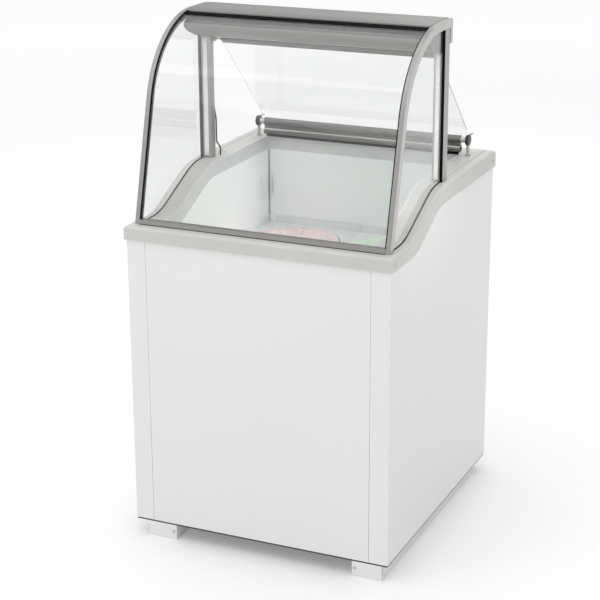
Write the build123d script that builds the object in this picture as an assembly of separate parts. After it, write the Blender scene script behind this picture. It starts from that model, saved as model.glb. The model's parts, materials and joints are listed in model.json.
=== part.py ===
from build123d import *
from math import cos, hypot, radians, sin
import os

# Ice cream dipping cabinet, in millimetres. X runs to the right as a customer sees it, Y runs from the
# customer's side (-Y) to the server's side (+Y), Z runs up from the floor. The origin is on the floor,
# under the middle of the cabinet. The cabinet's rim is low at the front and high at the rear, and the two
# levels are joined by an S-shaped climb along each side.

# Cabinet body
skid_height = 38
skid_width = 75
skid_wall = 2
skid_front_y = -353
skid_rear_y = 305
skid_left_x = -296
skid_right_x = 240
half_width = 330
half_depth = 353.5
sheet = 1.5
base_thickness = 4
base_top = skid_height + base_thickness
wrap_front = 47.5
wrap_rear = 20
seam = 0.8
panel_tuck = 22
machine_top = 322

# Rim: lower edge and top edge, each as (front height, rear height, where the climb starts, where it ends)
rim_low_line = (753, 828, -205, -55)
rim_top_line = (786, 869, -230, -50)
climb_radius = 170
rim_half_width = 334
rim_half_depth = 359
rim_web = 5
rim_shoulder = 9
collar_height = 35

# Cold well
well_half_width = 262
well_half_depth = 285
well_floor = 381
liner_wall = 1.5
collar_wall = 6
coil_radius = 4
coil_offset = 8
coil_gap = 12.5
coil_bend = 17
ledge_top = 636
ledge_width = 6

# Tubs and the two lift-out skirts round them
tub_radius = 119
tub_bead = 2
tub_wall = 2.5
tub_height = 258
tub_x = 130
tub_rows = {"rear": 140, "front": -110}
skirt_hole_radius = 123
skirt_flange = 20

# Glass canopy: the front glass leans back, then bends over into a level roof
glass_lean = 0.26
glass_foot_y = -331.6
glass_foot_z = 788
glass_radius = 235
roof_z = 1247
glass_thickness = 5
frame_inner_x = 307
frame_outer_x = 318
frame_depth = 20
lip_front_y = 36
lip_bottom_z = 1190
glass_depth = 4
channel_seal = 1.2
channel_height = 11
hood_front_y = -66
hood_rear_y = 52
hood_plate = 3
hood_half_width = 305.4
hood_gasket_y = -84
skirt_bottom_z = 1168
post_inner_x = 285
post_front_y = 2
post_rear_y = 32
post_bead = 1.5
side_glass_x = 307.5

# Lamp housing under the hood, seen from the side: (Y, Z) of its lower corners, with their radii
housing_top_z = 1231
housing_front_y = -56
housing_rear_y = 49
housing_nose, nose_radius = (-92, 1212), 9
housing_chin, chin_radius = (-70, 1195), 30
housing_throat, throat_radius = (-30, 1179), 60
housing_fall = 0.2
housing_wall = 2
lens_y = (-18, 30)

# Rear cover: a clear sheet that hangs from a rod and slopes down to a twin-bead handle
cover_axis_y = 60
cover_axis_z = 1158
cover_rod_radius = 3
cover_barrel_radius = 5.5
cover_seat = 0.5
running_gap = 0.05
cover_slope = radians(45)
cover_drop_y = 281.8
cover_bend = 14
cover_thickness = 4
cover_half_width = 280
handle_y = 279
handle_upper_z = 908
handle_lower_z = 884
handle_radius = 10
handle_half_length = 268
latch_radius = 13
latch_inner_x = 282
latch_thickness = 9

# Refrigeration in the base
fan_x, fan_z = 140, 141
fan_radius = 78
condenser_y = (268, 308)
condenser_x = (25, 255)
condenser_z = (46, 236)
compressor_x, compressor_y = -150, 165
compressor_radius = 75

# Controls on the server's side
control_x = (110, 270)
control_z = (252, 316)
control_face_y = 340
knob_x, rocker_x = 158, 226
control_mid_z = 284
rocker_y = 336
gland_x, gland_z = -250, 90
gland_bore_radius = 4.6


def block(x, y, z):
    """Box between pairs of X, Y and Z positions."""
    size = [span[1] - span[0] for span in (x, y, z)]
    centre = [(span[0] + span[1]) / 2 for span in (x, y, z)]
    return Pos(*centre) * Box(*size)


def mirrored(shape):
    return mirror(shape, about=Plane.YZ)


def save(name, *solids):
    """Writes one node. Several solids stay separate inside it."""
    shape = solids[0] if len(solids) == 1 else Compound(children=list(solids))
    export_step(shape, f"parts/{name}.step")


def raised(line, rise):
    return (line[0] + rise, line[1] + rise, line[2], line[3])


def side_edge(height, y_from, y_to):
    """Level line at a height, or the S-shaped climb of a (front, rear, start, end) line, in the YZ plane."""
    if not isinstance(height, tuple):
        return Line((y_from, height), (y_to, height))
    front_z, rear_z, start_y, end_y = height
    corners = [(y_from, front_z), (start_y, front_z), (end_y, rear_z), (y_to, rear_z)]
    return FilletPolyline(*corners, radius=climb_radius)


def side_slab(low, high, y, x):
    """Slab across X whose lower and upper edges may follow the S-shaped climb."""
    bottom = side_edge(low, *y)
    top = side_edge(high, *y)
    outline = bottom + Line(bottom @ 1, top @ 1) + top + Line(top @ 0, bottom @ 0)
    return extrude(Plane.YZ.offset(x[0]) * make_face(outline), x[1] - x[0], dir=(1, 0, 0))


def side_prism(points, x):
    """Prism across X with a polygon of (Y, Z) corners."""
    face = make_face(Polyline(*points, close=True))
    return extrude(Plane.YZ.offset(x[0]) * face, x[1] - x[0], dir=(1, 0, 0))


def rod_x(radius, y, z, x):
    return Pos((x[0] + x[1]) / 2, y, z) * Rot(0, 90, 0) * Cylinder(radius, x[1] - x[0])


def rod_y(radius, x, z, y):
    return Pos(x, (y[0] + y[1]) / 2, z) * Rot(90, 0, 0) * Cylinder(radius, y[1] - y[0])


def rod_z(radius, x, y, z):
    return Pos(x, y, (z[0] + z[1]) / 2) * Cylinder(radius, z[1] - z[0])


def tube_along(path, radius):
    section = Plane(origin=path @ 0, z_dir=path % 0) * Circle(radius)
    return sweep(section, path=path)


# Body shell


def skid(left_x):
    """Rectangular runner, open at the rear, with a folded cap at the front."""
    right_x = left_x + skid_width
    runner = block((left_x, right_x), (skid_front_y, skid_rear_y), (0, skid_height))
    inside = block(
        (left_x + skid_wall, right_x - skid_wall),
        (skid_front_y + skid_wall, skid_rear_y + 1),
        (skid_wall, skid_height - skid_wall),
    )
    slit_y = (skid_front_y + 3, skid_front_y + 8)
    cap_slit = [block((x - 1, x + 1), slit_y, (3, skid_height - 3)) for x in (left_x, right_x)]
    upright = (runner - inside).edges().filter_by(Axis.Z).group_by(Axis.Y)[0]
    return fillet(upright, 1.2) - cap_slit


def base_pan():
    """Deck that carries the compressor, with vent slots under the condenser."""
    deck = block((-329, 329), (-352.5, 352.5), (skid_height, base_top))
    slots = [block((60, 220), (y, y + 8), (skid_height - 1, base_top + 1)) for y in range(60, 200, 24)]
    return deck - slots


def side_panel():
    """Right-hand skin. It wraps round the front and the rear corners."""
    top = raised(rim_low_line, panel_tuck)
    skin = side_slab(base_top, top, (-half_depth, half_depth), (half_width - sheet, half_width))
    front = block(
        (half_width - wrap_front, half_width), (-half_depth, -half_depth + sheet), (base_top, top[0])
    )
    rear = block((half_width - wrap_rear, half_width), (half_depth - sheet, half_depth), (base_top, top[1]))
    panel = skin + front + rear
    corners = [
        edge
        for edge in panel.edges().filter_by(Axis.Z)
        if edge.center().X > half_width - 0.01 and abs(edge.center().Y) > half_depth - 0.01
    ]
    return fillet(corners, 1.4)


def front_panel():
    half = half_width - wrap_front - seam
    return block((-half, half), (-half_depth, -half_depth + sheet), (base_top, rim_low_line[0] + panel_tuck))


def rear_panel():
    half = half_width - wrap_rear - seam
    top = rim_low_line[1] + panel_tuck
    return block((-half, half), (half_depth - sheet, half_depth), (machine_top + 8, top))


def rear_grille():
    """Lift-off service panel with pressed louvres, a control cut-out and a gland hole."""
    half = half_width - wrap_rear - seam
    plate = block((-half, half), (half_depth - sheet, half_depth), (base_top + 4, machine_top + 6))
    louvre = side_prism([(352, 2), (353.5, 2), (358, -5), (357, -6), (352, 0)], (-62, 62))
    slot = block((-62, 62), (350, 356), (-7, 0))
    for x in (-120, 40, 180):
        for row in range(11):
            place = Pos(x, 0, 72 + 15 * row)
            plate = plate - place * slot + place * louvre
    plate = plate - block(control_x, (350, 356), control_z)
    return plate - rod_y(9.3, gland_x, gland_z, (350, 356))


def screw(place):
    """Pan-head screw whose head stands out along its own +Z."""
    head = rod_z(4, 0, 0, (0, 2.2))
    head = fillet(head.edges().group_by(Axis.Z)[-1], 1)
    cross = Pos(0, 0, 2.2) * (Box(4, 0.8, 1.6) + Box(0.8, 4, 1.6))
    return place * (head - cross)


def panel_screws():
    to_front = [Plane((x, skid_front_y, 21), z_dir=(0, -1, 0)) for x in (-229, 247)]
    to_rear = [
        Plane((x, half_depth, z), z_dir=(0, 1, 0))
        for x in (-300, 300)
        for z in (base_top + 18, machine_top - 8, machine_top + 22, 790)
    ]
    to_side = [
        Plane((side * rim_half_width, y, z), z_dir=(side, 0, 0))
        for side in (-1, 1)
        for y, z in ((-336, 767), (340, 846))
    ]
    return [screw(plane.location) for plane in to_front + to_rear + to_side]


# Cold well


def insulation():
    """Foam between the skins and the liner, with a gap for the evaporator coil."""
    x, y = half_width - sheet, half_depth - sheet
    foam = side_slab(machine_top, raised(rim_top_line, -rim_web), (-y, y), (-x, x))
    inner_x = well_half_width + liner_wall + coil_gap
    inner_y = well_half_depth + liner_wall + coil_gap
    cavity = block((-inner_x, inner_x), (-inner_y, inner_y), (well_floor - liner_wall, 900))
    coil_x = well_half_width + liner_wall + coil_offset
    suction_way = rod_z(coil_radius + 1, -coil_x, 40, (machine_top - 1, well_floor))
    return foam - cavity - suction_way


def liner():
    """Open-topped tank with a ledge for the tub skirts and two slotted sensor guards."""
    x, y = well_half_width + liner_wall, well_half_depth + liner_wall
    top = raised(rim_top_line, -collar_height)
    tank = side_slab(well_floor - liner_wall, top, (-y, y), (-x, x))
    well_x, well_y = (-well_half_width, well_half_width), (-well_half_depth, well_half_depth)
    tank -= block(well_x, well_y, (well_floor, 900))
    ledge = block(well_x, well_y, (ledge_top - 2, ledge_top))
    gap_x, gap_y = well_half_width - ledge_width, well_half_depth - ledge_width
    ledge -= block((-gap_x, gap_x), (-gap_y, gap_y), (ledge_top - 3, ledge_top + 1))
    guard = block((-256, -242), (well_half_depth - 5, well_half_depth), (706, 772))
    guard -= block((-253.5, -244.5), (well_half_depth - 3, well_half_depth), (709, 769))
    guard -= block((-251, -247), (well_half_depth - 6, well_half_depth - 2), (714, 764))
    side_guard = block((-well_half_width, -well_half_width + 4), (236, 249), (713, 764))
    side_guard -= block((-well_half_width + 1, -250), (240.5, 244.5), (719, 758))
    return tank + ledge + guard + side_guard


def breaker_collar():
    """Plastic strip that joins the liner to the rim, all the way round."""
    x, y = well_half_width + collar_wall, well_half_depth + collar_wall
    low = raised(rim_top_line, -collar_height)
    ring = side_slab(low, rim_top_line, (-y, y), (-x, x))
    return ring - block((-well_half_width, well_half_width), (-well_half_depth, well_half_depth), (700, 900))


def evaporator_coil():
    """One tube wound round the liner, climbing one level at each turn."""
    x = well_half_width + liner_wall + coil_offset
    y = well_half_depth + liner_wall + coil_offset
    points = []
    for z in range(410, 660, 48):
        points += [(-x, 40, z), (-x, y, z), (x, y, z), (x, -y, z), (-x, -y, z), (-x, -40, z)]
    return tube_along(FilletPolyline(*points, radius=coil_bend), coil_radius)


# Rim


def rim_ring():
    """Hollow cap over the top of the walls, with a rounded outer shoulder."""
    y, x = (-rim_half_depth, rim_half_depth), (-rim_half_width, rim_half_width)
    ring = side_slab(rim_low_line, rim_top_line, y, x)
    upper_faces = ring.faces().filter_by(lambda face: face.normal_at().Z > 0.5)
    side_edges = [edge for edge in upper_faces.edges() if abs(edge.center().X) > rim_half_width - 0.01]
    end_edges = [edge for edge in upper_faces.edges() if abs(edge.center().Y) > rim_half_depth - 0.01]
    shoulder = side_edges + end_edges
    ring = fillet(shoulder, rim_shoulder)
    body_y, body_x = (-half_depth, half_depth), (-half_width, half_width)
    ring -= side_slab(700, raised(rim_top_line, -rim_web), body_y, body_x)
    gap_x, gap_y = well_half_width + collar_wall, well_half_depth + collar_wall
    ring -= block((-gap_x, gap_x), (-gap_y, gap_y), (700, 900))
    groove = block((309, 311), (post_rear_y + 1, 346), (rim_top_line[1] - 1.2, rim_top_line[1] + 1))
    return ring - groove - mirrored(groove)


def rim_pieces():
    """The rim is four mouldings with mitred corners."""
    ring = rim_ring()
    inner_x, inner_y = well_half_width + collar_wall, well_half_depth + collar_wall
    reach = 8
    outer_x, outer_y = rim_half_width + reach, rim_half_depth + reach
    outer = [(-outer_x, -outer_y), (outer_x, -outer_y), (outer_x, outer_y), (-outer_x, outer_y)]
    inner = [(-inner_x, -inner_y), (inner_x, -inner_y), (inner_x, inner_y), (-inner_x, inner_y)]
    pieces = {}
    for side, name in enumerate(("front", "right", "rear", "left")):
        after = (side + 1) % 4
        wedge = make_face(Polyline(outer[side], outer[after], inner[after], inner[side], close=True))
        pieces[name] = ring & Pos(0, 0, 700) * extrude(wedge, 200)
    return pieces


# Canopy


def lean_y(depth, z):
    """Y of the leaning stretch of the glass line, moved inwards by a depth."""
    return glass_foot_y + glass_lean * (z - glass_foot_z) + depth * hypot(1, glass_lean)


def glass_line(depth, foot_z, rear_y):
    """Side view of the front glass's outer face, moved inwards by a depth."""
    level = roof_z - depth
    corners = [(lean_y(depth, foot_z), foot_z), (lean_y(depth, level), level), (rear_y, level)]
    return FilletPolyline(*corners, radius=glass_radius - depth)


def glass_band(outer_depth, inner_depth, foot_z, rear_y, x):
    """Curved band between two depths behind the glass line."""
    outer = glass_line(outer_depth, foot_z, rear_y)
    inner = glass_line(inner_depth, foot_z, rear_y)
    outline = outer + Line(outer @ 1, inner @ 1) + inner + Line(inner @ 0, outer @ 0)
    return extrude(Plane.YZ.offset(x[0]) * make_face(outline), x[1] - x[0], dir=(1, 0, 0))


def side_frame():
    """Right-hand arch: it holds the front glass's edge and ends in a lip that hangs behind the post."""
    x = (frame_inner_x, frame_outer_x)
    arch = glass_band(0, frame_depth, rim_top_line[0], hood_rear_y, x)
    lip = block(x, (lip_front_y, hood_rear_y), (lip_bottom_z, roof_z - frame_depth + 1))
    lip = fillet(lip.edges().filter_by(Axis.X).group_by(Axis.Z)[0], 4)
    rear_top = (arch + lip).edges().filter_by(Axis.X).sort_by(Axis.Y)[-4:].sort_by(Axis.Z)[-1]
    return fillet(rear_top, 4)


def front_glass():
    x = frame_inner_x - 3.5
    sheet_band = glass_band(glass_depth, glass_depth + glass_thickness, rim_top_line[0] + 3, 30, (-x, x))
    return sheet_band - block((-400, 400), (hood_gasket_y, 100), (1150, 1300))


def edge_gasket():
    """Rubber strip along the inside of the right-hand arch: it seals the glass, then the roof plate."""
    strip = glass_band(2.5, 11, rim_top_line[0] + 3, 30, (frame_inner_x - 3.5, frame_inner_x))
    strip -= block((-400, 400), (hood_gasket_y, 100), (1150, 1300))
    roof_strip = glass_band(0.5, 11, 1000, hood_rear_y - 4, (hood_half_width, frame_inner_x))
    return strip + (roof_strip & block((300, 310), (hood_gasket_y, 100), (1150, 1300)))


def hood_gasket():
    """Wide rubber strip between the glass's top edge, the roof plate and the lamp housing."""
    x = (-hood_half_width, hood_half_width)
    strip = glass_band(hood_plate, 12, 1000, 30, x)
    strip &= block(x, (hood_gasket_y, housing_front_y), (1150, 1300))
    return strip + block(x, (housing_front_y, housing_front_y + 8), (housing_top_z, roof_z - hood_plate - 2))


def side_glass():
    """Right-hand pane: it stands on the rim between the arch and the post."""
    x = (side_glass_x, side_glass_x + glass_thickness)
    front = glass_line(frame_depth, 700, 60)
    outline = front + Line(front @ 1, (60, 700)) + Line((60, 700), front @ 0)
    pane = extrude(Plane.YZ.offset(x[0]) * make_face(outline), x[1] - x[0], dir=(1, 0, 0))
    under_rim = side_slab(600, rim_top_line, (-400, 400), (x[0] - 1, x[1] + 1))
    return pane - under_rim - block((300, 320), (post_front_y + 4, 100), (600, 1300))


def sill_gasket():
    """Thin seal on the rim along both faces of the right-hand pane."""
    x = (side_glass_x - 0.8, side_glass_x + glass_thickness + 0.8)
    seal = side_slab(rim_top_line, raised(rim_top_line, 1.2), (-340, 20), x)
    seal -= block((side_glass_x, side_glass_x + 5), (-400, 100), (700, 1000))
    front = glass_line(frame_depth, 700, 60)
    outline = front + Line(front @ 1, (60, 700)) + Line((60, 700), front @ 0)
    inside = extrude(Plane.YZ.offset(300) * make_face(outline), 30, dir=(1, 0, 0))
    return (seal & inside) - block((300, 320), (post_front_y - post_bead, 100), (600, 1300))


def post_seals():
    """Black seal behind the pane in the post's glazing slot, and a bead in the corner outside the pane."""
    pane_outer_x = side_glass_x + glass_thickness
    z = (rim_top_line[1], roof_z - frame_depth)
    slot_seal = block((side_glass_x - 0.5, pane_outer_x + 0.5), (post_front_y + 4, post_front_y + 8), z)
    bead = block((pane_outer_x, frame_outer_x), (post_front_y - post_bead, post_front_y), z)
    return [slot_seal, bead]


def belly_z(y):
    """Height of the lamp housing's underside behind its throat."""
    throat_y, throat_z = housing_throat
    return throat_z - housing_fall * (y - throat_y)


def housing_outline():
    """Side view of the lamp housing, with a rounded nose over a belly that flattens rearwards."""
    corners = [
        (housing_front_y, housing_top_z),
        housing_nose,
        housing_chin,
        housing_throat,
        (housing_rear_y, belly_z(housing_rear_y)),
        (housing_rear_y, housing_top_z),
    ]
    face = make_face(Polyline(*corners, close=True))
    rounded = ((housing_nose, nose_radius), (housing_chin, chin_radius), (housing_throat, throat_radius))
    for corner, radius in rounded:
        face = fillet(face.vertices().sort_by_distance(corner)[0], radius)
    return face


def housing_envelope():
    face = Plane.YZ.offset(-frame_inner_x) * housing_outline()
    return extrude(face, 2 * frame_inner_x, dir=(1, 0, 0))


def underside(y_from, y_to, depth_from, depth_to, x):
    """Slanted slab measured upwards from the lamp housing's underside."""
    corners = [
        (y_from, belly_z(y_from) + depth_from),
        (y_to, belly_z(y_to) + depth_from),
        (y_to, belly_z(y_to) + depth_to),
        (y_from, belly_z(y_from) + depth_to),
    ]
    return side_prism(corners, x)


def lamp_housing():
    """Hollow extrusion with end caps and an opening in its underside for the diffuser."""
    shape = housing_envelope()
    half_hollow = frame_inner_x - housing_wall
    hollow = Plane.YZ.offset(-half_hollow) * offset(housing_outline(), -housing_wall)
    shape -= extrude(hollow, 2 * half_hollow, dir=(1, 0, 0))
    return shape - underside(*lens_y, -3, 4, (-270, 270))


def lamp_lens():
    """Diffuser, set back a little in its opening, with a flange that rests inside the housing."""
    lens = underside(*lens_y, 0.8, 2.1, (-270, 270))
    flange = underside(lens_y[0] - 5, lens_y[1] + 5, 2.1, 3.6, (-276, 276))
    return lens + flange


def lamp_strip():
    """Board with a row of light-emitting chips, fixed to the housing's ceiling."""
    ceiling = housing_top_z - housing_wall
    board = block((-260, 260), (-30, -12), (ceiling - 2, ceiling))
    chip = block((-2.5, 2.5), (-23.5, -18.5), (ceiling - 3.2, ceiling - 2))
    chips = [Pos(x, 0, 0) * chip for x in range(-240, 241, 30)]
    return board + chips


def hood():
    """Roof plate with a skirt behind it and two ears for the cover's rod."""
    roof = glass_band(0, hood_plate, 1000, hood_rear_y, (-hood_half_width, hood_half_width))
    roof -= block((-400, 400), (-500, hood_front_y), (700, 1300))
    skirt = block(
        (-frame_inner_x, frame_inner_x), (hood_rear_y - 3, hood_rear_y), (skirt_bottom_z, roof_z - hood_plate)
    )
    ear = block((296, 300), (hood_rear_y - 3, cover_axis_y + 6), (cover_axis_z - 6, skirt_bottom_z + 8))
    ear -= rod_x(cover_rod_radius, cover_axis_y, cover_axis_z, (290, 310))
    return roof + skirt + ear + mirrored(ear)


def post():
    """Right-hand upright: a rounded tube and an outer flange with a glazing slot between them."""
    x = (post_inner_x, frame_outer_x)
    column = block(x, (post_front_y, post_rear_y), (rim_top_line[1], roof_z - frame_depth))
    column = fillet(column.edges().filter_by(Axis.Z).group_by(Axis.X)[0], 9)
    column -= block((side_glass_x - 0.5, side_glass_x + 5.5), (0, post_front_y + 8), (800, 1300))
    column -= block((291.5, 304), (0, post_front_y + 1.5), (rim_top_line[1] + 6, 1300))
    column -= rod_z(6, 298, 19, (rim_top_line[1] + 2, 1300))
    return column - housing_envelope()


def channel_gasket():
    """Thin seal between the rim and the front glass's sill."""
    z = rim_top_line[0]
    y = (lean_y(glass_depth - 5, z) - 1, lean_y(glass_depth + glass_thickness + 5, z))
    return block((-frame_inner_x, frame_inner_x), y, (z, z + channel_seal))


def glass_channel():
    """Sill that grips the bottom edge of the front glass."""
    low, high = rim_top_line[0] + channel_seal, rim_top_line[0] + channel_height

    def wall(outer, inner, bottom, top):
        corners = [(lean_y(outer, bottom), bottom), (lean_y(inner, bottom), bottom)]
        corners += [(lean_y(inner, top), top), (lean_y(outer, top), top)]
        return side_prism(corners, (-frame_inner_x, frame_inner_x))

    gap_outer, gap_inner = glass_depth, glass_depth + glass_thickness
    front = wall(gap_outer - 5, gap_outer, low, high)
    rear = wall(gap_inner, gap_inner + 5, low, high)
    base = wall(gap_outer, gap_inner, low, rim_top_line[0] + 3)
    gasket_room = glass_band(2.5, 11, rim_top_line[0] + 3, 30, (frame_inner_x - 3.5, frame_inner_x))
    return front + rear + base - gasket_room - mirrored(gasket_room)


def lamp_cable():
    """Lead from the hood down the back of the left-hand post and into the rim."""
    points = [(-293, 35, 1165.5), (-293, 35, 1000), (-288, 37, 960)]
    points += [(-288, 37, 905), (-281, 44, 888), (-281, 44, 869)]
    return tube_along(FilletPolyline(*points, radius=8), 2)


def cover_stops():
    """Two short posts on the rear rim, under the latch discs."""
    top = handle_upper_z - latch_radius - 0.3
    foot = rim_top_line[1]
    stop = rod_z(4, 286.5, handle_y, (foot, top)) + rod_z(7, 286.5, handle_y, (foot, foot + 3))
    return stop, mirrored(stop)


# Rear cover


def down_slope(along, out=0):
    """Point on the cover: a distance down its slope from the barrel, and out from its middle plane."""
    reach = cover_barrel_radius + along
    y = cover_axis_y + reach * cos(cover_slope) + out * sin(cover_slope)
    z = cover_axis_z - reach * sin(cover_slope) + out * cos(cover_slope)
    return (y, z)


def slope_slab(along, out, x):
    corners = [down_slope(along[0], out[0]), down_slope(along[1], out[0])]
    corners += [down_slope(along[1], out[1]), down_slope(along[0], out[1])]
    return side_prism(corners, x)


def cover_line(out):
    """Side view of one face of the cover's sheet: down the slope, round the bend, then upright."""
    y = cover_drop_y + out
    reach = (y - cover_axis_y - out * sin(cover_slope)) / cos(cover_slope)
    start = down_slope(-cover_seat, out)
    corner = down_slope(reach - cover_barrel_radius, out)
    return FilletPolyline(start, corner, (y, handle_upper_z + 4), radius=cover_bend + out)


def rear_cover():
    """Clear sheet, bent down at its lower end so that it enters the top of the handle."""
    outer, inner = cover_line(cover_thickness / 2), cover_line(-cover_thickness / 2)
    outline = outer + Line(outer @ 1, inner @ 1) + inner + Line(inner @ 0, outer @ 0)
    face = Plane.YZ.offset(-cover_half_width) * make_face(outline)
    cover = extrude(face, 2 * cover_half_width, dir=(1, 0, 0))
    grip = handle_half_length - 2
    waste = block((grip, 300), (250, 300), (0, handle_upper_z + handle_radius + 4))
    return cover - waste - mirrored(waste)


def cover_top_rail():
    """Extrusion along the sheet's top edge: a bored barrel on the rod, with a seat between two lips."""
    x = (-cover_half_width, cover_half_width)
    half = cover_thickness / 2
    rail = rod_x(cover_barrel_radius, cover_axis_y, cover_axis_z, x)
    rail += slope_slab((-3, 6), (half, half + 1.2), x) + slope_slab((-3, 6), (-half - 1.2, -half), x)
    rail -= slope_slab((-cover_seat, 7), (-half, half), x)
    return rail - rod_x(cover_rod_radius + running_gap, cover_axis_y, cover_axis_z, (-300, 300))


def cover_handle():
    """Twin-bead extrusion along the sheet's bottom edge, with a stub axle at each end."""
    x = (-handle_half_length, handle_half_length)
    grip_half = handle_half_length - 2
    upper = rod_x(handle_radius, handle_y, handle_upper_z, x)
    lower = rod_x(handle_radius - 0.5, handle_y, handle_lower_z, x)
    web = block(x, (handle_y - 4, handle_y + 4), (handle_lower_z, handle_upper_z))
    half = cover_thickness / 2
    slot_y = (cover_drop_y - half, cover_drop_y + half)
    slot = block((-grip_half, grip_half), slot_y, (handle_upper_z + 4, 930))
    axle = rod_x(4, handle_y, handle_upper_z, (-latch_inner_x - 6, latch_inner_x + 6))
    bore = rod_x(5.5, handle_y, handle_lower_z, (-300, 300))
    return upper + lower + web + axle - bore - slot


def cover_latch():
    """Right-hand latch disc with a hub and a finger lever, turning on the handle's axle."""
    outer_x = latch_inner_x + latch_thickness
    disc = rod_x(latch_radius, handle_y, handle_upper_z, (latch_inner_x, outer_x))
    disc = fillet(disc.edges().filter_by(GeomType.CIRCLE), 1.5)
    hub = rod_x(7.5, handle_y, handle_upper_z, (handle_half_length + 0.3, latch_inner_x))
    lever = block((284, 289), (handle_y, handle_y + 34), (handle_upper_z + 8, handle_upper_z + 12))
    lever = fillet(lever.edges().filter_by(Axis.X).group_by(Axis.Y)[-1], 1.5)
    return disc + hub + lever - rod_x(4 + running_gap, handle_y, handle_upper_z, (200, latch_inner_x + 6.3))


# Tubs and skirts


def tub(x, y):
    """Round carton with a rolled rim."""
    top = well_floor + tub_height
    wall = rod_z(tub_radius, x, y, (well_floor, top))
    bead = rod_z(tub_radius + tub_bead, x, y, (top - 5, top))
    bead = fillet(bead.edges().filter_by(GeomType.CIRCLE), 1.5)
    return wall + bead - rod_z(tub_radius - tub_wall, x, y, (well_floor + tub_wall, top + 1))


def ice_cream(x, y):
    """Fill that swells over the tub's rim in a low dome."""
    rim_z = well_floor + tub_height
    crown_z, dome_radius = rim_z + 8, 1200
    fill = rod_z(tub_radius - tub_wall, x, y, (well_floor + tub_wall, crown_z))
    swell = rod_z(tub_radius - 0.5, x, y, (rim_z + 0.3, crown_z))
    return (fill + swell) & Pos(x, y, crown_z - dome_radius) * Sphere(dome_radius)


def skirt_panel():
    """Right-hand lift-out panel round two tubs, turned up along the rear wall."""
    outer_x, outer_y = well_half_width - 1.5, well_half_depth - 1.5
    panel = block((0.5, outer_x), (-outer_y, outer_y), (ledge_top, ledge_top + sheet))
    panel += block((0.5, outer_x), (outer_y - sheet, outer_y), (ledge_top, ledge_top + skirt_flange))
    for y in tub_rows.values():
        panel -= rod_z(skirt_hole_radius, tub_x, y, (ledge_top - 1, ledge_top + 3))
    rear_notch = block((240, 258), (278, 290), (ledge_top - 1, ledge_top + skirt_flange + 1))
    side_notch = block((256, 262), (234, 251), (ledge_top - 1, ledge_top + 3))
    return panel - rear_notch - side_notch


# Refrigeration


def compressor():
    """Hermetic shell on a foot plate."""
    shell = rod_z(compressor_radius, compressor_x, compressor_y, (58, 238))
    shell = fillet(shell.edges().filter_by(GeomType.CIRCLE), 34)
    band = rod_z(compressor_radius + 3, compressor_x, compressor_y, (150, 156))
    feet = Pos(compressor_x, compressor_y, 55.5) * Box(190, 110, 3)
    for x in (-82, 82):
        for y in (-42, 42):
            feet -= rod_z(5.3, compressor_x + x, compressor_y + y, (50, 60))
    pad = rod_z(45, compressor_x, compressor_y, (54, 66))
    terminal = Pos(compressor_x, compressor_y - 76, 137.5) * Box(48, 32, 55)
    return shell + band + feet + pad + terminal


def compressor_grommets():
    grommet = rod_z(10, 0, 0, (base_top, 54)) + rod_z(5, 0, 0, (54, 57)) + rod_z(9, 0, 0, (57, 61))
    return [Pos(compressor_x + x, compressor_y + y, 0) * grommet for x in (-82, 82) for y in (-42, 42)]


def condenser():
    """Tube-and-fin block: fins on four rows of tube between two end plates."""
    x, y, z = condenser_x, condenser_y, condenser_z
    block_parts = [block((side - 1, side + 1), y, z) for side in (x[0] + 1, x[1] - 1)]
    block_parts += [block((fin, fin + 1), (y[0] + 1, y[1] - 1), z) for fin in range(x[0] + 9, x[1] - 6, 7)]
    for row in range(5):
        height = z[0] + 20 + 37 * row
        for depth in (y[0] + 11, y[1] - 11):
            block_parts.append(rod_x(4.5, depth, height, (x[0] - 5, x[1] + 5)))
    core = block_parts[0]
    for piece in block_parts[1:]:
        core += piece
    foot = block((x[0], x[1]), (y[0], y[1]), (base_top, z[0]))
    return core + foot


def fan_shroud():
    """Sheet round the fan, fixed to the condenser's face."""
    plate = block(condenser_x, (condenser_y[0] - 2, condenser_y[0]), (base_top, condenser_z[1]))
    plate -= rod_y(fan_radius + 5, fan_x, fan_z, (200, 300))
    ring = rod_y(fan_radius + 7, fan_x, fan_z, (condenser_y[0] - 26, condenser_y[0] - 2))
    return plate + ring - rod_y(fan_radius + 5, fan_x, fan_z, (200, 300))


def fan_motor():
    """Small motor with its shaft, held by three arms from the shroud's ring."""
    motor = rod_y(30, fan_x, fan_z, (176, 226))
    motor = fillet(motor.edges().filter_by(GeomType.CIRCLE), 4)
    shaft = rod_y(3, fan_x, fan_z, (226, 262))
    arms = None
    for turn in (90, 210, 330):
        arm = block((26, fan_radius + 12), (214, 217), (-8, 8))
        foot = block((fan_radius + 7, fan_radius + 12), (214, condenser_y[0] - 2), (-8, 8))
        turned = Pos(fan_x, 0, fan_z) * Rot(0, -turn, 0) * (arm + foot)
        arms = turned if arms is None else arms + turned
    return motor + shaft + arms


def condenser_fan():
    """Five-bladed fan on the motor's shaft."""
    hub = rod_y(16, fan_x, fan_z, (240, 260))
    fan = hub
    for turn in range(0, 360, 72):
        blade = Pos(45, 0, 0) * Rot(28, 0, 0) * Box(66, 2, 34)
        fan += Pos(fan_x, 250, fan_z) * Rot(0, turn, 0) * blade
    fan = fan & rod_y(fan_radius, fan_x, fan_z, (236, 264))
    return fan - rod_y(3 + running_gap, fan_x, fan_z, (200, 262.4))


def filter_drier():
    """Copper cylinder with necked ends, lying on the deck."""
    x, y, z = 0, 60, 70
    body = rod_y(13, x, z, (y - 45, y + 45))
    body = fillet(body.edges().filter_by(GeomType.CIRCLE), 9)
    necks = rod_y(5, x, z, (y - 60, y + 60))
    clip = block((x - 4, x + 4), (y - 6, y + 6), (base_top, z - 10))
    return body + necks + clip


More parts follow.
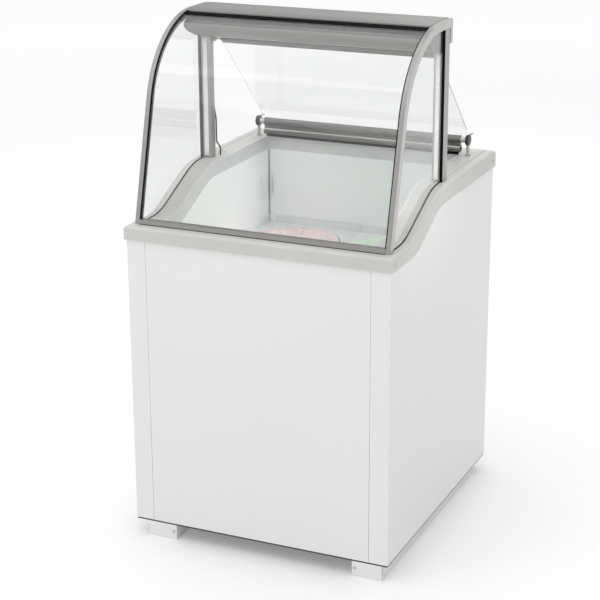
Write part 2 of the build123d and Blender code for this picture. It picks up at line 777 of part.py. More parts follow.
def refrigerant_lines():
    """Copper lines: compressor to condenser, condenser to drier, and evaporator back to the compressor."""
    coil_x = well_half_width + liner_wall + coil_offset
    inlet_z = condenser_z[0] + 20 + 37 * 4
    outlet_z = condenser_z[0] + 20
    row_y = condenser_y[1] - 11
    bend = 14
    discharge = FilletPolyline(
        (compressor_x + compressor_radius, compressor_y, 190),
        (-40, compressor_y, 190),
        (-40, row_y, inlet_z),
        (condenser_x[0] - 5, row_y, inlet_z),
        radius=bend,
    )
    liquid = FilletPolyline(
        (condenser_x[0] - 5, condenser_y[0] + 11, outlet_z),
        (0, condenser_y[0] + 11, outlet_z),
        (0, 150, 70),
        (0, 120, 70),
        radius=8,
    )
    suction = FilletPolyline(
        (compressor_x - compressor_radius, compressor_y, 180),
        (-coil_x, compressor_y, 180),
        (-coil_x, 40, 220),
        (-coil_x, 40, 406),
        radius=bend,
    )
    return tube_along(discharge, 4), tube_along(liquid, 3), tube_along(suction, coil_radius)


# Controls


def control_box():
    """Box behind the service panel with a recessed face for the knob and the switch."""
    body = block(control_x, (296, half_depth), control_z)
    face_x, face_z = (control_x[0] + 4, control_x[1] - 4), (control_z[0] + 4, control_z[1] - 4)
    recess = block(face_x, (control_face_y, 360), face_z)
    window = block((rocker_x - 11, rocker_x + 11), (330, 345), (control_mid_z - 15, control_mid_z + 15))
    shaft_hole = rod_y(4.05, knob_x, control_mid_z, (318, 345))
    inside = block((control_x[0] + 3, control_x[1] - 3), (300, 337), (control_z[0] + 3, control_z[1] - 3))
    cheek_z = (control_mid_z - 15, control_mid_z + 15)
    cheeks = [block((x - 2, x + 2), (328, control_face_y), cheek_z) for x in (rocker_x - 13, rocker_x + 13)]
    pin_bores = rod_x(2.5 + running_gap, rocker_y, control_mid_z, (rocker_x - 14.4, rocker_x + 14.4))
    return body - recess - window - shaft_hole - inside + cheeks - pin_bores


def thermostat_knob():
    """Knob with a pointer ridge on a round spindle."""
    knob = rod_y(17, knob_x, control_mid_z, (control_face_y + 0.4, 353))
    knob = fillet(knob.edges().filter_by(GeomType.CIRCLE).group_by(Axis.Y)[-1], 2)
    ridge = block((knob_x - 2.5, knob_x + 2.5), (352, 356), (control_mid_z - 13, control_mid_z + 16))
    return knob + ridge + rod_y(4, knob_x, control_mid_z, (320, control_face_y + 0.4))


def lamp_switch():
    """Rocker that tilts on two pins in the control box's cheeks."""
    low, middle, high = control_mid_z - 13, control_mid_z, control_mid_z + 13
    outline = [(331, low), (331, high), (346, high), (342, middle), (342, low)]
    rocker = side_prism(outline, (rocker_x - 10, rocker_x + 10))
    return rocker + rod_x(2.5, rocker_y, control_mid_z, (rocker_x - 14, rocker_x + 14))


def cord_gland():
    """Bushing in the service panel for the supply cord, which isn't fitted."""
    barrel = rod_y(9, gland_x, gland_z, (340, 357))
    collar = rod_y(13, gland_x, gland_z, (half_depth, 357))
    nut = Pos(gland_x, 348, gland_z) * Rot(90, 0, 0) * extrude(RegularPolygon(13, 6), 3.5, both=True)
    return barrel + collar + nut - rod_y(gland_bore_radius, gland_x, gland_z, (330, 360))


def build():
    os.makedirs("parts", exist_ok=True)

    save("skid_left", skid(skid_left_x))
    save("skid_right", skid(skid_right_x))
    save("base_pan", base_pan())
    save("side_panel_right", side_panel())
    save("side_panel_left", mirrored(side_panel()))
    save("front_panel", front_panel())
    save("rear_panel", rear_panel())
    save("rear_grille", rear_grille())
    save("panel_screws", *panel_screws())

    save("insulation", insulation())
    save("liner", liner())
    save("breaker_collar", breaker_collar())
    save("evaporator_coil", evaporator_coil())
    for name, piece in rim_pieces().items():
        save(f"rim_{name}", piece)

    save("side_frame_right", side_frame())
    save("side_frame_left", mirrored(side_frame()))
    save("post_right", post())
    save("post_left", mirrored(post()))
    save("front_glass", front_glass())
    save("side_glass_right", side_glass())
    save("side_glass_left", mirrored(side_glass()))
    seals = [edge_gasket(), sill_gasket(), *post_seals()]
    seals += [mirrored(seal) for seal in seals]
    save("glass_gaskets", hood_gasket() - hood(), channel_gasket(), *seals)
    save("glass_channel", glass_channel())
    save("hood", hood())
    save("lamp_housing", lamp_housing())
    save("lamp_lens", lamp_lens())
    save("lamp_strip", lamp_strip())
    save("lamp_cable", lamp_cable())
    save("cover_rod", rod_x(cover_rod_radius, cover_axis_y, cover_axis_z, (-303, 303)))
    save("cover_stops", *cover_stops())

    save("rear_cover", rear_cover())
    save("cover_top_rail", cover_top_rail())
    save("cover_handle", cover_handle())
    save("cover_latch_right", cover_latch())
    save("cover_latch_left", mirrored(cover_latch()))

    for row, y in tub_rows.items():
        for side, x in (("left", -tub_x), ("right", tub_x)):
            save(f"tub_{row}_{side}", tub(x, y))
            save(f"ice_cream_{row}_{side}", ice_cream(x, y))
    save("tub_skirt_right", skirt_panel())
    save("tub_skirt_left", mirrored(skirt_panel()))

    save("compressor", compressor())
    save("compressor_grommets", *compressor_grommets())
    save("condenser", condenser())
    save("fan_shroud", fan_shroud())
    save("fan_motor", fan_motor())
    save("condenser_fan", condenser_fan())
    save("filter_drier", filter_drier())
    save("refrigerant_lines", *refrigerant_lines())
    save("control_box", control_box())
    save("thermostat_knob", thermostat_knob())
    save("lamp_switch", lamp_switch())
    save("cord_gland", cord_gland())


build()
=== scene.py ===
import json
from math import cos, pi, radians, sin

import bmesh
import bpy
from mathutils import Matrix, Vector, noise


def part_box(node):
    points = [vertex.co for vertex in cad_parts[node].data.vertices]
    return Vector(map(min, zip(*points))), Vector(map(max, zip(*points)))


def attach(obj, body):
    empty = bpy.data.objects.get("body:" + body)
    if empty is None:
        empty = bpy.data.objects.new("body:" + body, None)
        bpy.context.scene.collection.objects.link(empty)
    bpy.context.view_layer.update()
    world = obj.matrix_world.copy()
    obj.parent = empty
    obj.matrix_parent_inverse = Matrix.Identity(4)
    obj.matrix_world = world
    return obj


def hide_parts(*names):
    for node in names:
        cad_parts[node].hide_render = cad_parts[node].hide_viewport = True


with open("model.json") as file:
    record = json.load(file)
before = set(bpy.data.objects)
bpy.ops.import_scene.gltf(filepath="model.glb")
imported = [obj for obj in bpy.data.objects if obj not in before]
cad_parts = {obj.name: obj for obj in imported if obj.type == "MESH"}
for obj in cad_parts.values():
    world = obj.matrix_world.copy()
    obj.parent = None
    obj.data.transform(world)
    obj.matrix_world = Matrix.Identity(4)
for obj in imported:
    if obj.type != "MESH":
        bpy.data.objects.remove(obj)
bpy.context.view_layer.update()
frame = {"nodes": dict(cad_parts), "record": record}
nodes = frame["nodes"]

# Sockets of a Mix node that mixes colours: they share their names with its other kinds, so they go by number.
mix_first, mix_second, mix_result = 6, 7, 2


# ---- materials -------------------------------------------------------------------------------------------


class Look:
    """A material with one Principled shader. Its small helpers add nodes and return their output sockets."""

    def __init__(self, name, **sockets):
        self.material = bpy.data.materials.new(name)
        self.material.use_nodes = True
        self.tree = self.material.node_tree
        self.shader = self.tree.nodes["Principled BSDF"]
        for socket, value in sockets.items():
            self.shader.inputs[socket.replace("_", " ")].default_value = value
        self.place = self.tree.nodes.new("ShaderNodeTexCoord").outputs["Object"]

    def node(self, kind, links=(), **values):
        made = self.tree.nodes.new(kind)
        for key, value in values.items():
            setattr(made, key, value)
        for socket, source in dict(links).items():
            if isinstance(source, bpy.types.NodeSocket):
                self.tree.links.new(source, made.inputs[socket])
            else:
                made.inputs[socket].default_value = source
        return made

    def stretched(self, stretch):
        return self.node("ShaderNodeMapping", {"Vector": self.place, "Scale": stretch}).outputs["Vector"]

    def noise(self, scale, stretch=(1, 1, 1), detail=4, roughness=0.5):
        links = {"Vector": self.stretched(stretch), "Scale": scale, "Detail": detail, "Roughness": roughness}
        return self.node("ShaderNodeTexNoise", links).outputs["Fac"]

    def cells(self, scale, output="Distance"):
        return self.node("ShaderNodeTexVoronoi", {"Vector": self.place, "Scale": scale}).outputs[output]

    def span(self, source, low, high, start=0.3, end=0.7):
        """Maps the part of a value from start to end onto low to high."""
        links = {"Value": source, "From Min": start, "From Max": end, "To Min": low, "To Max": high}
        return self.node("ShaderNodeMapRange", links).outputs["Result"]

    def math(self, operation, a, b):
        return self.node("ShaderNodeMath", {0: a, 1: b}, operation=operation).outputs["Value"]

    def mix(self, factor, first, second):
        links = {"Factor": factor}
        for socket, part in ((mix_first, first), (mix_second, second)):
            links[socket] = part if isinstance(part, bpy.types.NodeSocket) else (*part, 1)
        return self.node("ShaderNodeMix", links, data_type="RGBA").outputs[mix_result]

    def colour(self, factor, first, second):
        self.tree.links.new(self.mix(factor, first, second), self.shader.inputs["Base Color"])

    def roughness(self, source):
        self.tree.links.new(source, self.shader.inputs["Roughness"])

    def relief(self, height, distance, strength=1.0):
        bump = self.node("ShaderNodeBump", {"Height": height, "Distance": distance, "Strength": strength})
        self.tree.links.new(bump.outputs["Normal"], self.shader.inputs["Normal"])


def painted(name, colour, shade, roughness, peel=420, depth=0.00012, **sockets):
    """Powder coat: faint cloudiness, an orange-peel surface and slightly uneven gloss."""
    look = Look(name, **sockets)
    look.colour(look.noise(5, detail=3), colour, shade)
    look.roughness(look.span(look.noise(38, detail=2), roughness - 0.008, roughness + 0.008))
    look.relief(look.noise(peel, detail=2), depth, 0.2)
    return look


def moulded(name, colour, shade, roughness, grain=1500, depth=0.00008, **sockets):
    """Moulded plastic: a fine spark-eroded grain with soft rub marks."""
    look = Look(name, **sockets)
    look.colour(look.span(look.noise(11, detail=6), 0, 1), colour, shade)
    look.roughness(look.span(look.noise(24, detail=5), roughness - 0.06, roughness + 0.08))
    height = look.math("ADD", look.cells(grain), look.noise(grain * 0.4, detail=3))
    look.relief(height, depth, 0.4)
    return look


def brushed(name, colour, shade, roughness, along, depth=0.00004, bands=0.4, run=0.02, **sockets):
    """Drawn or brushed metal: long fine lines along one or two axes, with broader bands under them."""
    look = Look(name, **{"Metallic": 1.0, **sockets})
    stretch = [run if axis in along else 1 for axis in "xyz"]
    fine = look.noise(900, stretch, detail=3)
    broad = look.noise(60, stretch, detail=4)
    streaks = look.math("ADD", look.math("MULTIPLY", fine, 1 - bands), look.math("MULTIPLY", broad, bands))
    look.colour(look.span(streaks, 0, 1, 0.35, 0.65), shade, colour)
    look.roughness(look.span(fine, roughness - 0.06, roughness + 0.08))
    look.relief(fine, depth, 0.5)
    return look


def clear(name, tint, ior, haze):
    """Clear sheet: it bends and mirrors light, lets lamps through and is faintly uneven in tint."""
    look = Look(name, IOR=ior, Transmission_Weight=1.0)
    cloud = look.noise(9, (1, 1, 0.25), detail=3)
    faintly_darker = 0.994
    look.colour(cloud, tint, [faintly_darker * part for part in tint])
    look.roughness(look.span(cloud, 0.0, haze))
    through = look.node("ShaderNodeBsdfTransparent", {"Color": (*tint, 1)})
    path = look.node("ShaderNodeLightPath")
    blend = look.node("ShaderNodeMixShader", {0: path.outputs["Is Shadow Ray"]})
    look.tree.links.new(look.shader.outputs["BSDF"], blend.inputs[1])
    look.tree.links.new(through.outputs["BSDF"], blend.inputs[2])
    output = look.tree.nodes["Material Output"]
    look.tree.links.new(blend.outputs["Shader"], output.inputs["Surface"])
    return look


def rubber(name):
    """Matt black rubber with a fine, dusty grain."""
    look = Look(name, Specular_IOR_Level=0.05)
    look.colour(look.span(look.noise(60, detail=6), 0, 1), (0.004, 0.004, 0.0045), (0.009, 0.009, 0.0095))
    look.roughness(look.span(look.noise(120), 0.75, 0.9))
    look.relief(look.noise(1400, detail=3), 0.0001, 0.4)
    return look


def galvanised(name):
    """Zinc spangle: flat crystals that catch the light differently."""
    look = Look(name, Metallic=1.0)
    crystal = look.node("ShaderNodeSeparateColor", {"Color": look.cells(70, "Color")}).outputs["Red"]
    look.colour(crystal, (0.42, 0.43, 0.44), (0.62, 0.64, 0.65))
    look.roughness(look.span(crystal, 0.34, 0.55, 0, 1))
    look.relief(look.noise(300), 0.00005, 0.3)
    return look


def bare_copper(name):
    """Copper tube with darker, duller patches of tarnish."""
    look = Look(name, Metallic=1.0)
    look.colour(look.span(look.noise(22, detail=7), 0, 1), (0.78, 0.36, 0.2), (0.42, 0.2, 0.12))
    look.roughness(look.span(look.noise(70, detail=5), 0.22, 0.45))
    look.relief(look.noise(500), 0.00005, 0.4)
    return look


def foamed(name):
    """Poured foam: small open cells and a patchy yellow."""
    look = Look(name)
    look.colour(look.span(look.noise(14, detail=6), 0, 1), (0.8, 0.68, 0.38), (0.68, 0.55, 0.28))
    look.roughness(look.span(look.noise(90), 0.75, 0.95))
    look.relief(look.cells(420), 0.0006, 0.7)
    return look


def waxed_board(name):
    """Spiral-wound board under a thin wax coat."""
    look = Look(name, Coat_Weight=0.25, Coat_Roughness=0.3)
    fibres = look.noise(520, (1, 1, 0.12), detail=5)
    look.colour(look.span(fibres, 0, 1), (0.8, 0.78, 0.72), (0.68, 0.65, 0.57))
    look.roughness(look.span(look.noise(45), 0.42, 0.6))
    look.relief(fibres, 0.0001, 0.5)
    return look


def frozen(name, pale, hollow_painted_shade, fleck=None):
    """Ice cream: paler on the scraped ridges and darker in the hollows, the darker tone being painted shade;
    small ice crystals and, in some, flecks.
    """
    look = Look(name, Subsurface_Weight=0.25, Subsurface_Radius=(0.006, 0.004, 0.003), Subsurface_Scale=0.6)
    body = look.noise(42, detail=8, roughness=0.6)
    # The tone follows the relief's noise: darker in the hollows as painted shade, paler on the ridges.
    tone = look.mix(look.span(body, 0, 1, 0.38, 0.62), hollow_painted_shade, pale)
    if fleck:
        spots = look.span(look.cells(85), 1, 0, 0.16, 0.2)
        patches = look.math("MULTIPLY", spots, look.span(look.noise(30), 0, 1, 0.48, 0.55))
        tone = look.mix(patches, tone, fleck)
    look.tree.links.new(tone, look.shader.inputs["Base Color"])
    look.roughness(look.span(look.noise(260), 0.38, 0.72))
    height = look.math("ADD", look.math("MULTIPLY", body, 1.5), look.noise(360, detail=5))
    look.relief(height, 0.0014, 0.75)
    return look


white_light = (1, 1, 1, 1)
lamp_light = (1, 0.985, 0.95, 1)
looks = {
    "white_paint": painted("white_paint", (0.78, 0.78, 0.776), (0.77, 0.77, 0.766), 0.3, Coat_Weight=0.12),
    "skirt_white": painted("skirt_white", (0.8, 0.815, 0.815), (0.78, 0.8, 0.8), 0.36),
    "liner_white": painted("liner_white", (0.92, 0.95, 0.955), (0.905, 0.935, 0.94), 0.42, peel=260),
    "hood_grey": brushed("hood_grey", (0.29, 0.284, 0.274), (0.245, 0.239, 0.232), 0.4, "x"),
    "black_enamel": painted("black_enamel", (0.012, 0.012, 0.013), (0.02, 0.02, 0.021), 0.3),
    "rim_plastic": moulded(
        "rim_plastic", (0.575, 0.567, 0.545), (0.545, 0.537, 0.515), 0.38, Coat_Weight=0.1
    ),
    "collar_plastic": moulded("collar_plastic", (0.66, 0.675, 0.675), (0.62, 0.635, 0.635), 0.42),
    "black_plastic": moulded("black_plastic", (0.016, 0.016, 0.017), (0.03, 0.03, 0.031), 0.36),
    "lens": moulded(
        "lens", (0.86, 0.86, 0.83), (0.8, 0.8, 0.77), 0.42, Emission_Color=lamp_light, Emission_Strength=1.6
    ),
    "steel": brushed("steel", (0.72, 0.72, 0.71), (0.55, 0.55, 0.55), 0.24, "x"),
    "aluminium": brushed("aluminium", (0.62, 0.61, 0.595), (0.5, 0.49, 0.478), 0.34, "yz"),
    "galvanised": galvanised("galvanised"),
    "copper": bare_copper("copper"),
    "black_rubber": rubber("black_rubber"),
    "foam": foamed("foam"),
    "glass": clear("glass", (0.95, 0.958, 0.954), 1.5, 0.004),
    "acrylic": clear("acrylic", (0.955, 0.96, 0.96), 1.45, 0.006),
    "carton": waxed_board("carton"),
    "ice_pink": frozen("ice_pink", (0.95, 0.82, 0.81), (0.92, 0.72, 0.715), (0.6, 0.12, 0.15)),
    "ice_green": frozen("ice_green", (0.77, 0.93, 0.77), (0.64, 0.87, 0.66), (0.1, 0.045, 0.025)),
    "ice_vanilla": frozen("ice_vanilla", (0.87, 0.78, 0.54), (0.78, 0.66, 0.4)),
    "ice_chocolate": frozen("ice_chocolate", (0.24, 0.115, 0.06), (0.14, 0.06, 0.03)),
}
along_x = brushed(
    "aluminium_along_x",
    (0.2, 0.195, 0.189),
    (0.165, 0.16, 0.155),
    0.3,
    "x",
    depth=0.000005,
    bands=0,
    run=0.003,
)
housing_silver = brushed(
    "housing_silver", (0.18, 0.175, 0.166), (0.158, 0.154, 0.147), 0.5, "x", Metallic=0.35
)
# Painted light: a lighter, less metallic copy of the housing's silver for its upward faces under the glass.
housing_top_painted_light = brushed("housing_top_painted_light", (0.62, 0.61, 0.59), (0.58, 0.57, 0.55), 0.5, "x", bands=0, Metallic=0.1)
sill_metal = brushed("aluminium_sill", (0.32, 0.314, 0.305), (0.285, 0.279, 0.272), 0.4, "x")
post_metal = brushed("aluminium_posts", (0.44, 0.432, 0.42), (0.38, 0.372, 0.362), 0.36, "z")
# Painted shade: a darker copy of the aluminium for the arches' faces that don't face sideways.
painted_shade_arch = brushed("aluminium_painted_shade_arch", (0.36, 0.353, 0.342), (0.3, 0.294, 0.285), 0.36, "yz")
# Painted highlight: a white strip with a faint glow, though it is no lamp, for the bright line down each
# post.
insert_painted_glow = moulded(
    "post_insert",
    (0.86, 0.86, 0.85),
    (0.81, 0.81, 0.8),
    0.3,
    Emission_Color=white_light,
    Emission_Strength=0.15,
)
sheet_edge = moulded("acrylic_edge", (0.86, 0.88, 0.88), (0.8, 0.83, 0.83), 0.35, Transmission_Weight=0.5)
frosted_seal = moulded("seam_sealant", (0.42, 0.43, 0.43), (0.34, 0.35, 0.35), 0.5)
nickel = brushed("nickel_wire", (0.7, 0.69, 0.67), (0.5, 0.49, 0.48), 0.22, "z")

own_look = {
    "cover_handle": along_x,
    "cover_top_rail": along_x,
    "lamp_housing": housing_silver,
    "glass_channel": sill_metal,
    "post_left": post_metal,
    "post_right": post_metal,
    # The base pan is black, which draws a dark line along the foot of the body.
    "base_pan": looks["black_enamel"],
}
for part in frame["record"]["subparts"]:
    shown = own_look.get(part["node"], looks[part["material_slot"]])
    mesh = nodes[part["node"]].data
    mesh.materials.clear()
    mesh.materials.append(shown.material)


def second_look(name, look, chosen):
    """Gives some faces of a node another look. They are chosen by centre and normal."""
    node = nodes[name]
    node.data.materials.append(look.material)
    for face in node.data.polygons:
        face.material_index = 1 if chosen(node.matrix_world @ face.center, face.normal) else 0


# The arches' curved faces, short of their rear ends, which get a darker copy of the aluminium as painted
# shade, and the latches' hubs and levers.
arch_end_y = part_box("side_frame_left")[1].y - 0.006
disc_inner_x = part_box("cover_latch_right")[1].x - 0.0095
disc_rear_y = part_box("cover_stops")[1].y + 0.0072
for side in ("left", "right"):
    second_look("side_frame_" + side, painted_shade_arch, lambda at, out: abs(out.x) <= 0.7 and at.y < arch_end_y)
    second_look(
        "cover_latch_" + side,
        looks["aluminium"],
        lambda at, out: abs(at.x) < disc_inner_x or at.y > disc_rear_y,
    )

# The inner sides of the gasket strips along the arches, which stand 3.5 mm inside them.
strip_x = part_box("side_frame_right")[0].x - 0.0035
second_look(
    "glass_gaskets", painted_shade_arch, lambda at, out: abs(out.x) > 0.9 and abs(abs(at.x) - strip_x) < 0.0003
)

# The sheet's side edges, the upper flank of the handle's lower bead, which gets a painted highlight, and the
# housing's slope under the glass, which gets painted light.
second_look("rear_cover", sheet_edge, lambda at, out: abs(out.x) > 0.9)
bead_top_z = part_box("cover_handle")[0].z + 0.0192
# Painted highlight: the upper flank of the lower bead gets the lighter aluminium in place of the handle's
# dark one.
second_look("cover_handle", looks["aluminium"], lambda at, out: at.z < bead_top_z and 0.5 < out.z < 0.85)
# Painted light: the housing's upward-facing slope gets the lighter copy of its silver.
second_look("lamp_housing", housing_top_painted_light, lambda at, out: out.z > 0.8 and out.y < -0.1)


# ---- pieces made here ------------------------------------------------------------------------------------


def piece(name, shape_data, look, body):
    """Puts a mesh or curve in the scene as a piece that rides on a body."""
    made = bpy.data.objects.new(name, shape_data)
    bpy.context.collection.objects.link(made)
    shape_data.materials.append(look.material)
    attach(made, body)
    return made


def mesh_from(name, build):
    """Smooth-shaded mesh of what a build function draws."""
    shape = bmesh.new()
    build(shape)
    bmesh.ops.recalc_face_normals(shape, faces=shape.faces)
    mesh = bpy.data.meshes.new(name)
    shape.to_mesh(mesh)
    shape.free()
    for face in mesh.polygons:
        face.use_smooth = True
    return mesh


def skinned(shape, rows):
    """Joins each row of vertices to the next one, all the way round."""
    for row, following in zip(rows, rows[1:]):
        for i in range(len(row)):
            j = (i + 1) % len(row)
            shape.faces.new((row[i], row[j], following[j], following[i]))


def lofted(shape, rings):
    """Skins a row of equal point rings and caps its ends."""
    rows = [[shape.verts.new(point) for point in ring] for ring in rings]
    skinned(shape, rows)
    shape.faces.new(rows[0])
    shape.faces.new(rows[-1])


def ice_cream(name, slot, seed):
    """Tub fill with a scraped, partly scooped top. It stays inside the CAD fill."""
    low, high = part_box(name)
    tub = name.replace("ice_cream", "tub")
    rim_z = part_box(tub)[1].z
    centre = (low + high) / 2
    radius = (high.x - low.x) / 2 - 0.0003
    inner_radius = radius - 0.0022
    doming = 0.0058
    scoop_depth, scoop_count = 0.0045, 3
    lip_height, lip_reach = 0.001, 1.35
    rings, spokes = 46, 128
    offset = Vector((seed * 3.1, seed * 1.7, seed))
    scoops = [
        (seed * 2.4 + k * 2.1, radius * (0.34 + 0.12 * k), 0.036 + 0.004 * k) for k in range(scoop_count)
    ]

    def top(x, y):
        spot = Vector((x, y, 0)) * 26 + offset
        height = -0.0018 + 0.0016 * noise.fractal(spot, 0.9, 2.1, 4)
        height += 0.0014 * noise.noise(Vector((x * 150, y * 34, seed)))
        for turn, reach, width in scoops:
            along = x * cos(turn) + y * sin(turn)
            across = -x * sin(turn) + y * cos(turn)
            gap = (across - reach * 0.6) / width
            if abs(gap) < 1:
                fade = max(0.0, 1 - (along / (radius * 0.95)) ** 4)
                height -= scoop_depth * fade * (1 - gap * gap) ** 0.5
            elif abs(gap) < lip_reach:
                height += lip_height * (lip_reach - abs(gap)) / (lip_reach - 1)
        return min(height, -0.0003) - doming * (x * x + y * y) / (radius * radius)

    def circle(reach):
        turns = [2 * pi * s / spokes for s in range(spokes)]
        return [(reach * cos(turn), reach * sin(turn)) for turn in turns]

    def build(shape):
        summit = shape.verts.new((centre.x, centre.y, high.z + top(0, 0)))
        rows = []
        for r in range(1, rings + 1):
            ring = [(centre.x + x, centre.y + y, high.z + top(x, y)) for x, y in circle(radius * r / rings)]
            rows.append([shape.verts.new(point) for point in ring])
        skirt_z = rim_z + 0.0005
        for reach, z in ((radius, skirt_z), (inner_radius, skirt_z), (inner_radius, low.z + 0.0003)):
            rows.append([shape.verts.new((centre.x + x, centre.y + y, z)) for x, y in circle(reach)])
        first = rows[0]
        for s in range(spokes):
            shape.faces.new((summit, first[s], first[(s + 1) % spokes]))
        skinned(shape, rows)
        shape.faces.new(rows[-1])

    made = piece("scooped_" + name, mesh_from(name, build), looks[slot], tub)
    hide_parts(name)


fills = {
    "rear_left": "ice_pink",
    "rear_right": "ice_green",
    "front_left": "ice_vanilla",
    "front_right": "ice_chocolate",
}
for count, (place, flavour) in enumerate(fills.items()):
    ice_cream("ice_cream_" + place, flavour, count + 2)


def corner_bead(name, x, y, low, high, radius=0.0035):
    """Sealant bead in a vertical inner corner of the well: a concave fillet between the two walls."""

    def build(shape):
        into_x, into_y = -1 if x > 0 else 1, -1 if y > 0 else 1
        profile = [(0, 0), (radius, 0)]
        turns = (pi / 8, pi / 4, 3 * pi / 8)
        profile += [(radius - radius * sin(turn), radius - radius * cos(turn)) for turn in turns]
        profile.append((0, radius))
        rings = []
        steps = 24
        for k in range(steps + 1):
            z = low + (high - low) * k / steps
            swell = 1 + 0.12 * noise.noise(Vector((x * 40, y * 40, z * 55)))
            rings.append([(x + into_x * u * swell, y + into_y * v * swell, z) for u, v in profile])
        lofted(shape, rings)

    piece(name, mesh_from(name, build), frosted_seal, "cabinet")


liner_wall = 0.0015
liner_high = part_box("liner")[1]
bead_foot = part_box("tub_skirt_left")[0].z + 0.0025
collar_low, collar_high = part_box("breaker_collar")
well_x, well_y = liner_high.x - liner_wall, liner_high.y - liner_wall
for side, x in (("left", -well_x), ("right", well_x)):
    corner_bead(f"corner_bead_rear_{side}", x, well_y, bead_foot, collar_high.z - 0.036)
    corner_bead(f"corner_bead_front_{side}", x, -well_y, bead_foot, collar_low.z - 0.0005)


def dark_lip_under_handle():
    """Black lip under the handle's lower bead, down to the rear rim, which draws a dark line along the
    handle's foot.
    """
    low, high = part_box("cover_handle")
    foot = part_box("rim_rear")[1].z + 0.0004
    half_length = 0.262
    middle = high.y - 0.0105
    top = low.z + 0.003

    def build(shape):
        rings = []
        steps = 90
        for k in range(steps + 1):
            x = -half_length + 2 * half_length * k / steps
            ripple = 0.0003 * sin(k * 1.9)
            section = [
                (middle - 0.005, top),
                (middle + 0.005, top),
                (middle + 0.0042 + ripple, foot + 0.0012),
                (middle + 0.0026 + ripple, foot),
                (middle - 0.0026 + ripple, foot),
                (middle - 0.0042 + ripple, foot + 0.0012),
            ]
            rings.append([(x, y, z) for y, z in section])
        lofted(shape, rings)

    piece("dark_lip_under_handle", mesh_from("dark_lip_under_handle", build), looks["black_rubber"], "rear_cover")


dark_lip_under_handle()


def bent_wire(name, points, radius, look, body):
    """Round wire along a smooth line."""
    curve = bpy.data.curves.new(name, "CURVE")
    curve.dimensions = "3D"
    curve.bevel_depth = radius
    curve.bevel_resolution = 5
    curve.use_fill_caps = True
    spline = curve.splines.new("NURBS")
    spline.points.add(len(points) - 1)
    for point, position in zip(spline.points, points):
        point.co = (*position, 1)
    spline.order_u = 3
    spline.use_endpoint_u = True
    spline.resolution_u = 16
    piece(name, curve, look, body)


def post_insert(side, groove_x):
    """Strip in the groove down a post's front, with softened edges; its white colour and faint glow are a
    painted highlight.
    """
    low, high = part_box("post_" + side)
    front = low.y + 0.0004
    foot, head = low.z + 0.0065, high.z - 0.06
    half_width, half_face = 0.0059, 0.0045
    edge_depth, full_depth = 0.0004, 0.001
    steps = 12
    outline = [
        (-half_width, full_depth),
        (-half_width, edge_depth),
        (-half_face, 0),
        (half_face, 0),
        (half_width, edge_depth),
        (half_width, full_depth),
    ]

    def build(shape):
        levels = [foot + (head - foot) * k / steps for k in range(steps + 1)]
        lofted(shape, [[(groove_x + u, front + v, z) for u, v in outline] for z in levels])

    name = "post_insert_" + side
    piece(name, mesh_from(name, build), insert_painted_glow, "cabinet")


post_insert("left", -0.29775)
post_insert("right", 0.29775)

cable_radius = 0.002
cable_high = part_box("lamp_cable")[1]
rim_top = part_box("rim_rear")[1].z
cable_x = cable_high.x - cable_radius
cable_y = cable_high.y - cable_radius
bent_wire(
    "cable_clip",
    [
        (cable_x - 0.006, cable_y + 0.001, rim_top + 0.0006),
        (cable_x - 0.004, cable_y + 0.003, rim_top + 0.012),
        (cable_x, cable_y + 0.0045, rim_top + 0.019),
        (cable_x + 0.004, cable_y + 0.004, rim_top + 0.012),
        (cable_x + 0.006, cable_y + 0.012, rim_top + 0.004),
        (cable_x + 0.001, cable_y + 0.026, rim_top + 0.0016),
    ],
    0.0009,
    nickel,
    "cabinet",
)


# ---- studio ----------------------------------------------------------------------------------------------

bpy.ops.mesh.primitive_plane_add(size=40, location=(0, 0, -0.0005))
floor = bpy.context.object
floor.name = "floor"
floor_look = Look("studio_floor", Specular_IOR_Level=0.2, Emission_Color=white_light)
floor_look.colour(floor_look.noise(0.8), (0.8, 0.8, 0.8), (0.795, 0.795, 0.795))
# The floor gives off more light from 1 m to 7 m out, so that it meets the background without a dark line.
reach = floor_look.node("ShaderNodeVectorMath", {0: floor_look.place}, operation="LENGTH").outputs["Value"]
glow = floor_look.span(reach, 0.2, 0.37, 1.0, 7.0)
floor_look.tree.links.new(glow, floor_look.shader.inputs["Emission Strength"])
floor_look.roughness(floor_look.span(floor_look.noise(3), 0.6, 0.7))
floor.data.materials.append(floor_look.material)

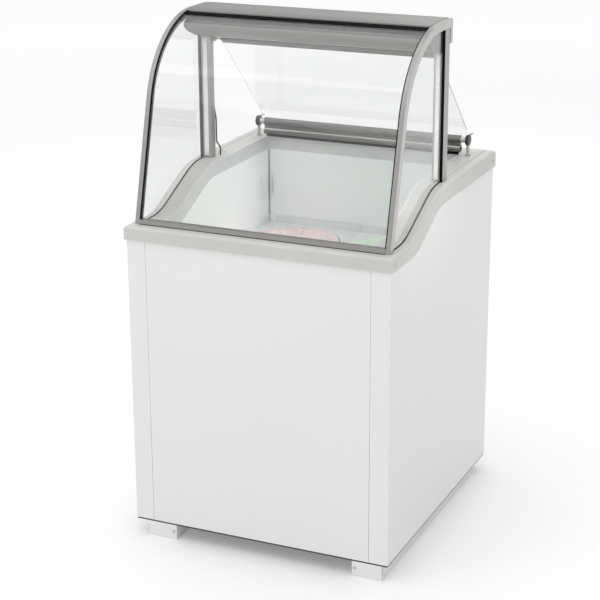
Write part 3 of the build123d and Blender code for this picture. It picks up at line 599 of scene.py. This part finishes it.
# The background is white at the horizon, greyer overhead, and weaker on the +X side.
world = bpy.data.worlds.new("studio")
bpy.context.scene.world = world
world.use_nodes = True
world_nodes = world.node_tree.nodes
background = world_nodes["Background"]
direction = world_nodes.new("ShaderNodeTexCoord").outputs["Generated"]
axes = world_nodes.new("ShaderNodeSeparateXYZ")
world.node_tree.links.new(direction, axes.inputs["Vector"])
ramp = world_nodes.new("ShaderNodeValToRGB")
ramp.color_ramp.elements[0].position = 0.0
ramp.color_ramp.elements[0].color = white_light
ramp.color_ramp.elements[1].position = 1.0
ramp.color_ramp.elements[1].color = (0.62, 0.62, 0.62, 1)
world.node_tree.links.new(axes.outputs["Z"], ramp.inputs["Fac"])
world.node_tree.links.new(ramp.outputs["Color"], background.inputs["Color"])
shade = world_nodes.new("ShaderNodeMapRange")
shade.inputs["From Min"].default_value = 0.1
shade.inputs["From Max"].default_value = 1.0
shade.inputs["To Min"].default_value = 1.04
shade.inputs["To Max"].default_value = 0.62
world.node_tree.links.new(axes.outputs["X"], shade.inputs["Value"])
world.node_tree.links.new(shade.outputs["Result"], background.inputs["Strength"])


def aimed_light(name, kind, position, target, power):
    """Light that points from its position to a target."""
    light = bpy.data.lights.new(name, kind)
    light.energy = power
    holder = bpy.data.objects.new(name, light)
    holder.location = position
    holder.rotation_euler = (Vector(target) - Vector(position)).to_track_quat("-Z", "Y").to_euler()
    bpy.context.collection.objects.link(holder)
    return light


def softbox(name, position, target, size, power):
    light = aimed_light(name, "AREA", position, target, power)
    light.shape = "RECTANGLE"
    light.size, light.size_y = size


softbox("key", (-1.6, -3.0, 3.0), (0, 0, 0.7), (2.4, 2.4), 10)
softbox("overhead", (0, -0.4, 4.2), (0, 0, 0.6), (5.0, 5.0), 70)
softbox("back", (0.4, 3.2, 3.0), (0, 0, 0.8), (3.0, 1.6), 14)

well_spot = aimed_light("well", "SPOT", (1.6, -0.6, 1.8), (-0.26, 0.0, 0.74), 62)
well_spot.spot_size = radians(19)
well_spot.spot_blend = 0.8
well_spot.shadow_soft_size = 0.2

bpy.context.scene.view_settings.view_transform = "Standard"

camera_data = bpy.data.cameras.new("camera")
camera_data.sensor_width = 36
camera_data.lens = 101.77
camera = bpy.data.objects.new("camera", camera_data)
bpy.context.collection.objects.link(camera)
camera.location = (1.586, -3.642, 1.877)
turn, tilt, roll = radians(24.15), radians(18.629), radians(-0.268)
camera.matrix_world = (
    Matrix.Translation(camera.location)
    @ Matrix.Rotation(turn, 4, "Z")
    @ Matrix.Rotation(pi / 2 - tilt, 4, "X")
    @ Matrix.Rotation(roll, 4, "Z")
)
bpy.context.scene.camera = camera
